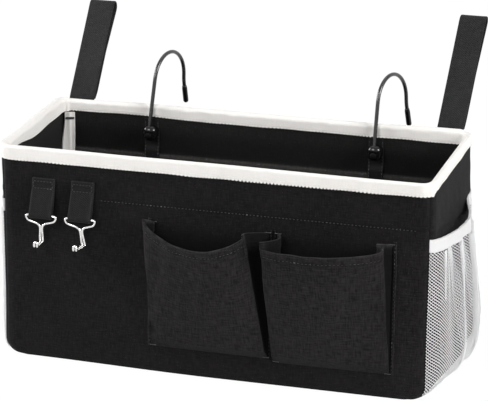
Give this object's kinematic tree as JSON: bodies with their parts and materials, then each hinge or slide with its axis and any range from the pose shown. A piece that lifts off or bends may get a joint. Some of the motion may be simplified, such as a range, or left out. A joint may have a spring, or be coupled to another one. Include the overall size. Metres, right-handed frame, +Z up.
{
  "type": "bedside caddy",
  "caption": "Open-topped canvas caddy with a bound rim, bellows and net pockets, key hooks, webbing straps and wire hooks for a bed rail.",
  "frame": {"origin": "middle of the flat underside of the base", "axes": "+X along the front to the right, +Y to the back wall that hangs against the bed, +Z up"},
  "size_m": [0.3808, 0.2335, 0.2545],
  "materials": {
    "canvas": "plain-woven canvas, matt",
    "lining": "plain-woven lining, matt",
    "board": "raw board",
    "stay": "matt strip",
    "tape": "twill tape, matt",
    "net": "knitted net",
    "elastic": "ribbed elastic",
    "webbing": "woven webbing, slight sheen",
    "fastener": "hook and loop tape",
    "enamel": "gloss black",
    "plastic": "moulded, glossy",
    "chrome": "polished plating"
  },
  "bodies": {
    "caddy": {"front_panel": "canvas", "back_panel": "canvas", "gusset": "canvas", "left_pocket": "canvas", "right_pocket": "canvas", "front_lining": "lining", "back_lining": "lining", "gusset_lining": "lining", "front_board": "board", "back_board": "board", "left_board": "board", "right_board": "board", "base_board": "board", "rim_stay": "stay", "rim_binding": "tape", "front_left_corner_tape": "tape", "front_right_corner_tape": "tape", "back_left_corner_tape": "tape", "back_right_corner_tape": "tape", "left_mesh_pocket": "net", "left_mesh_band": "elastic", "left_strap_root": "webbing", "left_hook_socket": "plastic", "left_hook_rivet": "plastic", "left_hook_band": "webbing", "left_key_tab": "webbing", "right_mesh_pocket": "net", "right_mesh_band": "elastic", "right_strap_root": "webbing", "right_hook_socket": "plastic", "right_hook_rivet": "plastic", "right_hook_band": "webbing", "right_key_tab": "webbing"},
    "left_hook_body": {"left_hook": "enamel", "left_hook_tip": "plastic"},
    "right_hook_body": {"right_hook": "enamel", "right_hook_tip": "plastic"},
    "left_strap_body": {"left_strap": "webbing", "left_loop_tape": "fastener", "left_hook_tape": "fastener"},
    "right_strap_body": {"right_strap": "webbing", "right_loop_tape": "fastener", "right_hook_tape": "fastener"},
    "left_key_hook_body": {"left_key_hook": "chrome"},
    "right_key_hook_body": {"right_key_hook": "chrome"}
  },
  "joints": [
    {"name": "left_hook_swivel", "type": "hinge", "parent": "caddy", "child": "left_hook_body", "pos_m": [-0.09175, 0.0578, 0.1565], "axis": [0.0538, 0.236, 0.9703], "range_deg": [-45, 45]},
    {"name": "right_hook_swivel", "type": "hinge", "parent": "caddy", "child": "right_hook_body", "pos_m": [0.09425, 0.0578, 0.1565], "axis": [0.0066, 0.2516, 0.9678], "range_deg": [-45, 45]},
    {"name": "left_strap_fold", "type": "hinge", "parent": "caddy", "child": "left_strap_body", "pos_m": [-0.1529, 0.0715, 0.1683], "axis": [-1, 0, 0], "range_deg": [-40, 113]},
    {"name": "right_strap_fold", "type": "hinge", "parent": "caddy", "child": "right_strap_body", "pos_m": [0.1529, 0.0715, 0.1683], "axis": [-1, 0, 0], "range_deg": [-20, 133]},
    {"name": "left_key_hook_swing", "type": "hinge", "parent": "caddy", "child": "left_key_hook_body", "pos_m": [-0.1356, -0.0755, 0.1198], "axis": [-1, 0, 0], "range_deg": [-8, 125]},
    {"name": "right_key_hook_swing", "type": "hinge", "parent": "caddy", "child": "right_key_hook_body", "pos_m": [-0.1038, -0.0755, 0.1198], "axis": [-1, 0, 0], "range_deg": [-8, 125]}
  ]
}
